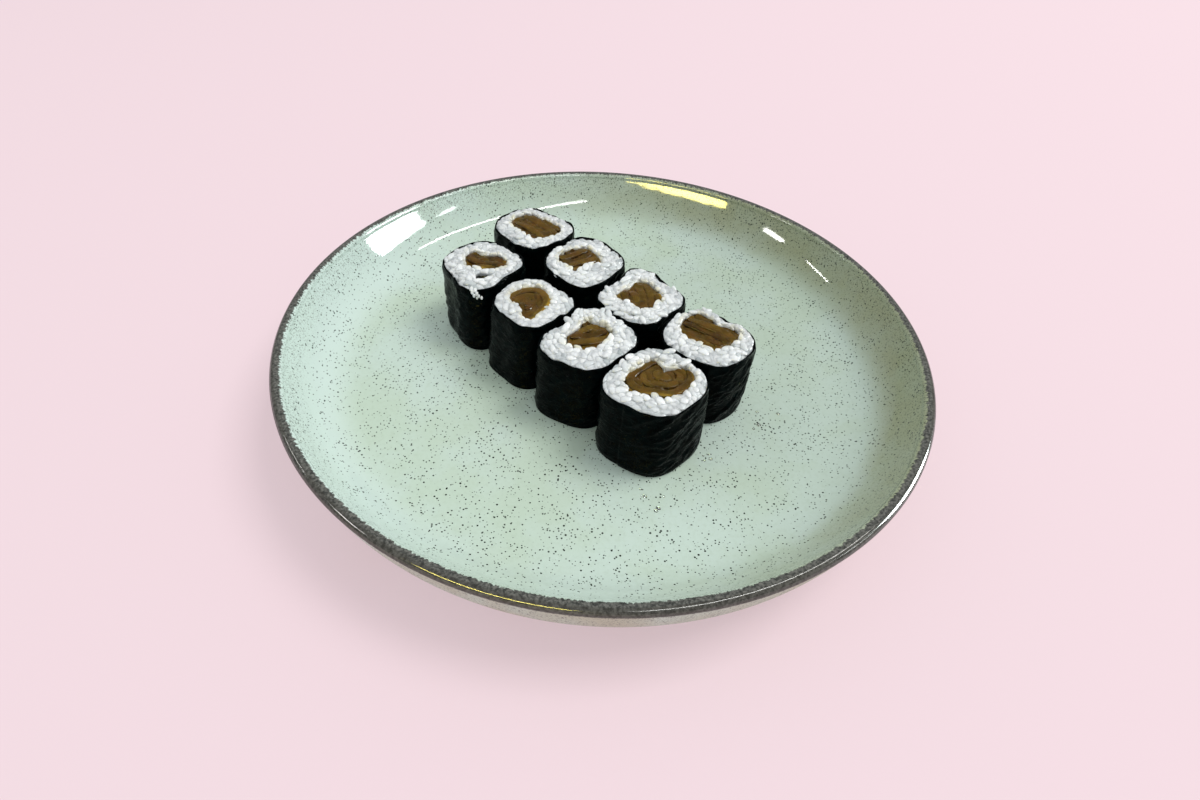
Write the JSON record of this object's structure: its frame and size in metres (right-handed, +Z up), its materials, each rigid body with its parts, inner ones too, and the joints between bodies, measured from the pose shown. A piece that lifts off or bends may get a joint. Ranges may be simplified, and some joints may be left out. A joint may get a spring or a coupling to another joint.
{
  "type": "maki sushi rolls on a plate",
  "caption": "Cut maki rolls filled with simmered gourd strips, standing on end in two rows on a round, shallow, speckled stoneware plate with a dark lip.",
  "frame": {"origin": "centre of the plate's foot, on the surface that the plate stands on", "axes": "+Z up along the plate's axis; +X to the right and +Y away as the plate is seen from the front"},
  "size_m": [0.205, 0.205, 0.0349],
  "materials": {
    "glaze": "glossy pale green glaze with fine dark specks and a charcoal lip",
    "nori": "moist, near black green, softly glossy, with fine creases",
    "rice": "cooked rice, bluish white, moist and a little translucent",
    "gourd": "simmered gourd strips, amber brown, moist and translucent at the edges"
  },
  "bodies": {
    "root": {"plate": "glaze", "nori_left_1": "nori", "nori_left_2": "nori", "nori_left_3": "nori", "nori_left_4": "nori", "nori_right_1": "nori", "nori_right_2": "nori", "nori_right_3": "nori", "nori_right_4": "nori", "rice_left_1": "rice", "rice_left_2": "rice", "rice_left_3": "rice", "rice_left_4": "rice", "rice_right_1": "rice", "rice_right_2": "rice", "rice_right_3": "rice", "rice_right_4": "rice", "filling_left_1": "gourd", "filling_left_2": "gourd", "filling_left_3": "gourd", "filling_left_4": "gourd", "filling_right_1": "gourd", "filling_right_2": "gourd", "filling_right_3": "gourd", "filling_right_4": "gourd"}
  },
  "joints": []
}
